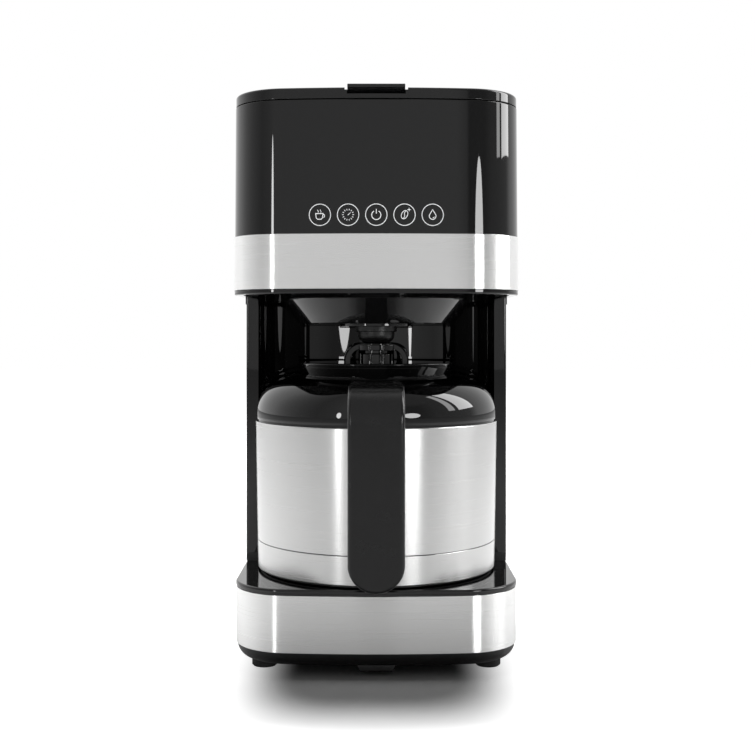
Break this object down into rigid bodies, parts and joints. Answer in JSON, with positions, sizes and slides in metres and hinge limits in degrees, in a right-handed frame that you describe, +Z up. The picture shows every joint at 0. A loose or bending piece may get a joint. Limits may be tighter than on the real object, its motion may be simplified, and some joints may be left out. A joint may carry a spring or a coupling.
{
  "type": "drip coffee maker",
  "caption": "Drip coffee maker with a glossy black head over an open bay, brushed-steel bands, a rear water column and a lidded steel thermal jug with a free-ended handle.",
  "frame": {"origin": "on the standing surface under the middle of the machine with its jug in place", "axes": "+X to the machine's right as seen from the front, +Y to the back, +Z up; the jug's handle points to -Y"},
  "size_m": [0.1696, 0.2606, 0.3371],
  "materials": {
    "gloss_black": "high gloss moulded",
    "satin_black": "satin moulded",
    "brushed_steel": "brushed along the surface",
    "liner_steel": "drawn",
    "screw_steel": "zinc plated",
    "element_steel": "heat tinted",
    "aluminium": "extruded",
    "rubber": "matt",
    "silicone": "translucent matt",
    "bakelite": "moulded",
    "circuit_board": "solder resist",
    "brass": "bright",
    "clear_window": "clear",
    "tank_plastic": "smoky translucent"
  },
  "bodies": {
    "machine": {"rubber_feet": "rubber", "bottom_cover": "satin_black", "cover_screws": "screw_steel", "base_band": "brushed_steel", "base_cover": "gloss_black", "flow_heater": "aluminium", "heating_element": "element_steel", "heater_clamps": "screw_steel", "thermostat": "bakelite", "power_board": "circuit_board", "supply_hose": "silicone", "check_valve": "silicone", "riser_hose": "silicone", "riser_nozzle": "satin_black", "cord_gland": "rubber", "foot_collar": "satin_black", "column_front": "gloss_black", "rear_housing": "satin_black", "level_window": "clear_window", "water_tank": "tank_plastic", "head_floor": "gloss_black", "head_band": "brushed_steel", "head_shell": "gloss_black", "inner_deck": "satin_black", "rear_cap": "gloss_black", "board_carrier": "satin_black", "touch_board": "circuit_board", "touch_pads": "brass", "brew_funnel": "gloss_black", "filter_basket": "satin_black", "basket_bail": "satin_black", "valve_spring": "screw_steel", "hinge_pins": "screw_steel"},
    "drip_stop": {"valve_plunger": "satin_black", "valve_seal": "silicone"},
    "top_lid": {"machine_lid": "gloss_black", "lid_liner": "satin_black", "shower_plate": "satin_black", "thumb_tab": "gloss_black"},
    "jug": {"jug_shell": "brushed_steel", "jug_cup": "brushed_steel", "jug_liner": "liner_steel", "liner_neck": "liner_steel", "jug_foot": "satin_black", "jug_shoulder": "gloss_black", "shoulder_seal": "silicone", "jug_handle": "gloss_black", "handle_back": "satin_black", "handle_screws": "screw_steel"},
    "jug_lid": {"jug_lid": "gloss_black", "lid_knob": "gloss_black", "lid_seal": "silicone", "brew_valve": "satin_black"}
  },
  "joints": [
    {"name": "lid_hinge", "type": "hinge", "parent": "machine", "child": "top_lid", "pos_m": [0, 0.11, 0.3328], "axis": [-1, 0, 0], "range_deg": [0, 95]},
    {"name": "jug_slide", "type": "slide", "parent": "machine", "child": "jug", "axis": [0, -1, 0], "range_m": [0, 0.24]},
    {"name": "jug_lid_turn", "type": "hinge", "parent": "jug", "child": "jug_lid", "pos_m": [0, -0.0094, 0.175], "axis": [0, 0, 1], "range_deg": [0, 60]},
    {"name": "valve_drop", "type": "slide", "parent": "machine", "child": "drip_stop", "axis": [0, 0, 1], "range_m": [-0.003, 0], "deforming": ["valve_spring"]}
  ],
  "couplings": [
    {"joint": "valve_drop", "follows": "jug_slide", "ratio": -0.0125}
  ]
}
